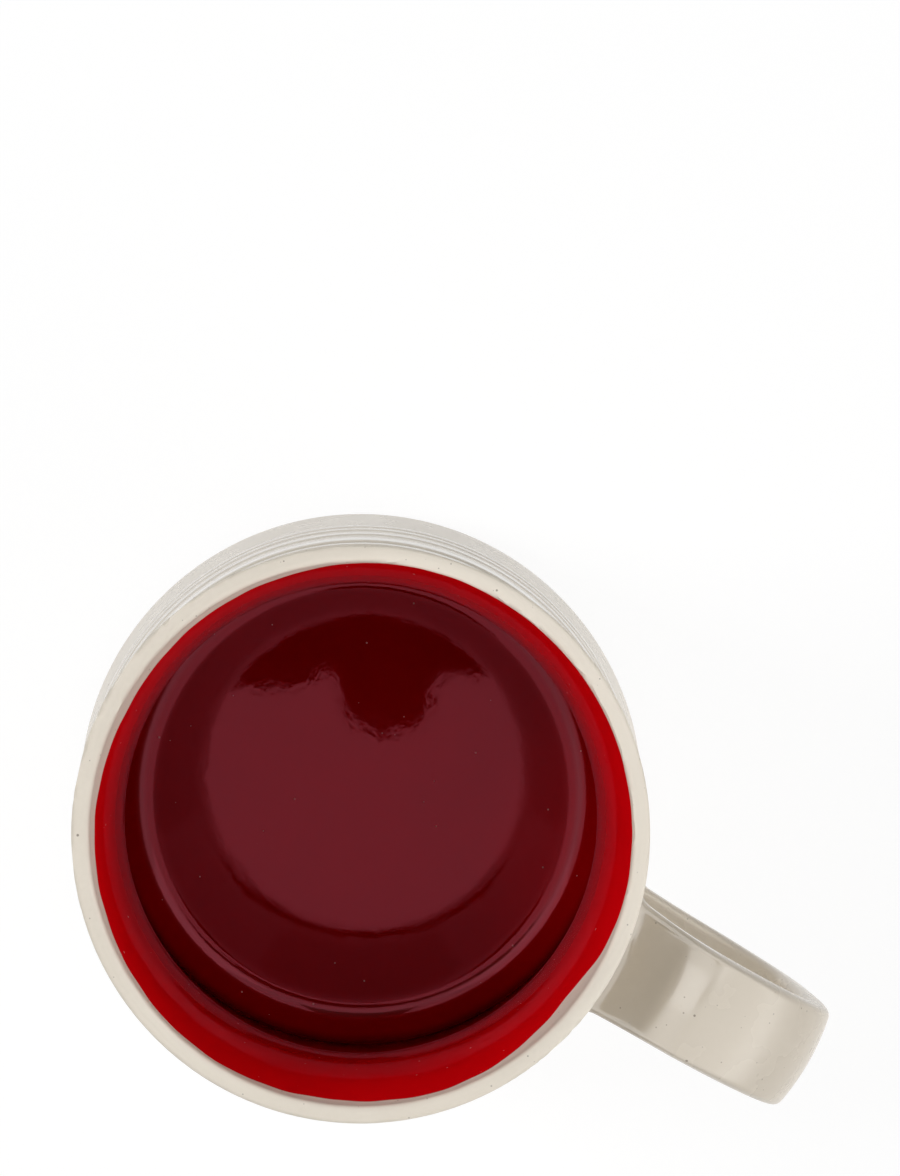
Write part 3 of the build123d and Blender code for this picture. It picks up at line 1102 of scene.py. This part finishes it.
def add_plane(name, corners, material):
    """A flat stage piece, which isn't part of the mug."""
    mesh = bpy.data.meshes.new(name)
    mesh.from_pydata(corners, [], [tuple(range(len(corners)))])
    plane = bpy.data.objects.new(name, mesh)
    bpy.context.scene.collection.objects.link(plane)
    mesh.materials.append(material)
    return plane


def add_floor(studio):
    """A wide pale floor just under the foot."""
    half, low = FLOOR_HALF, -FLOOR_DROP
    corners = [(-half, -half, low), (half, -half, low), (half, half, low), (-half, half, low)]
    add_plane("floor", corners, floor_material(studio))


def add_flags(camera_place):
    """Two dark cards that the shiny glazes mirror: one with a rounded tongue, and one behind."""
    black = Recipe("dark_card").finish(Base_Color=(0, 0, 0, 1), Roughness=1, Specular_IOR_Level=0)
    base = camera_place + Vector((0, 0, FLAG_ABOVE))
    for name, outline in (("near_flag", NEAR_FLAG), ("far_flag", FAR_FLAG)):
        corners = [tuple(base + STUDIO_TURN @ Vector((*corner, 0)) * MM) for corner in outline]
        card = add_plane(name, corners, black)
        card.visible_diffuse = False
        card.visible_shadow = False


class MugStudio(bpy.types.Operator):
    """Sets up the floor, the lamps, the sky and the camera"""

    bl_idname = "mug.studio"
    bl_label = "Studio"

    def execute(self, context):
        cup, _, _, studio = settings()
        build_world(studio)
        add_floor(studio)
        for name, place, sizes, setting, part, seen in LAMPS:
            glow = getattr(studio, setting) * part
            add_lamp(name, STUDIO_TURN @ Vector(place), sizes, glow, seen)
        scene = context.scene
        lens = bpy.data.cameras.new("camera")
        lens.sensor_width = SENSOR_WIDTH
        lens.lens = studio.focal
        camera = bpy.data.objects.new("camera", lens)
        scene.collection.objects.link(camera)
        camera.matrix_world = camera_pose(cup, studio)
        scene.camera = camera
        add_flags(camera.location)
        scene.view_settings.view_transform = "Standard"
        return {"FINISHED"}


class MugPanel(bpy.types.Panel):
    """The mug's pieces and settings"""

    bl_idname = "VIEW3D_PT_mug"
    bl_label = "Mug"
    bl_space_type = "VIEW_3D"
    bl_region_type = "UI"
    bl_category = "Mug"

    def draw(self, context):
        for operator in OPERATORS:
            self.layout.operator(operator.bl_idname)
        for name, group in GROUPS.items():
            box = self.layout.box()
            box.label(text=group.__doc__)
            for field in group.__annotations__:
                box.prop(getattr(context.scene, name), field)


OPERATORS = (MugClay, MugCreamCoat, MugRedLining, MugHandle, MugFootPatch, MugStudio)


def register():
    for kind in (*GROUPS.values(), *OPERATORS, MugPanel):
        bpy.utils.register_class(kind)
    for name, group in GROUPS.items():
        setattr(bpy.types.Scene, name, PointerProperty(type=group))


def unregister():
    for name in GROUPS:
        delattr(bpy.types.Scene, name)
    for kind in reversed((*GROUPS.values(), *OPERATORS, MugPanel)):
        bpy.utils.unregister_class(kind)


def main():
    """Builds the mug and its studio."""
    register()
    bpy.ops.mug.clay()
    bpy.ops.mug.cream_coat()
    bpy.ops.mug.red_lining()
    bpy.ops.mug.handle()
    bpy.ops.mug.foot_patch()
    bpy.ops.mug.studio()


if __name__ == "__main__":
    main()
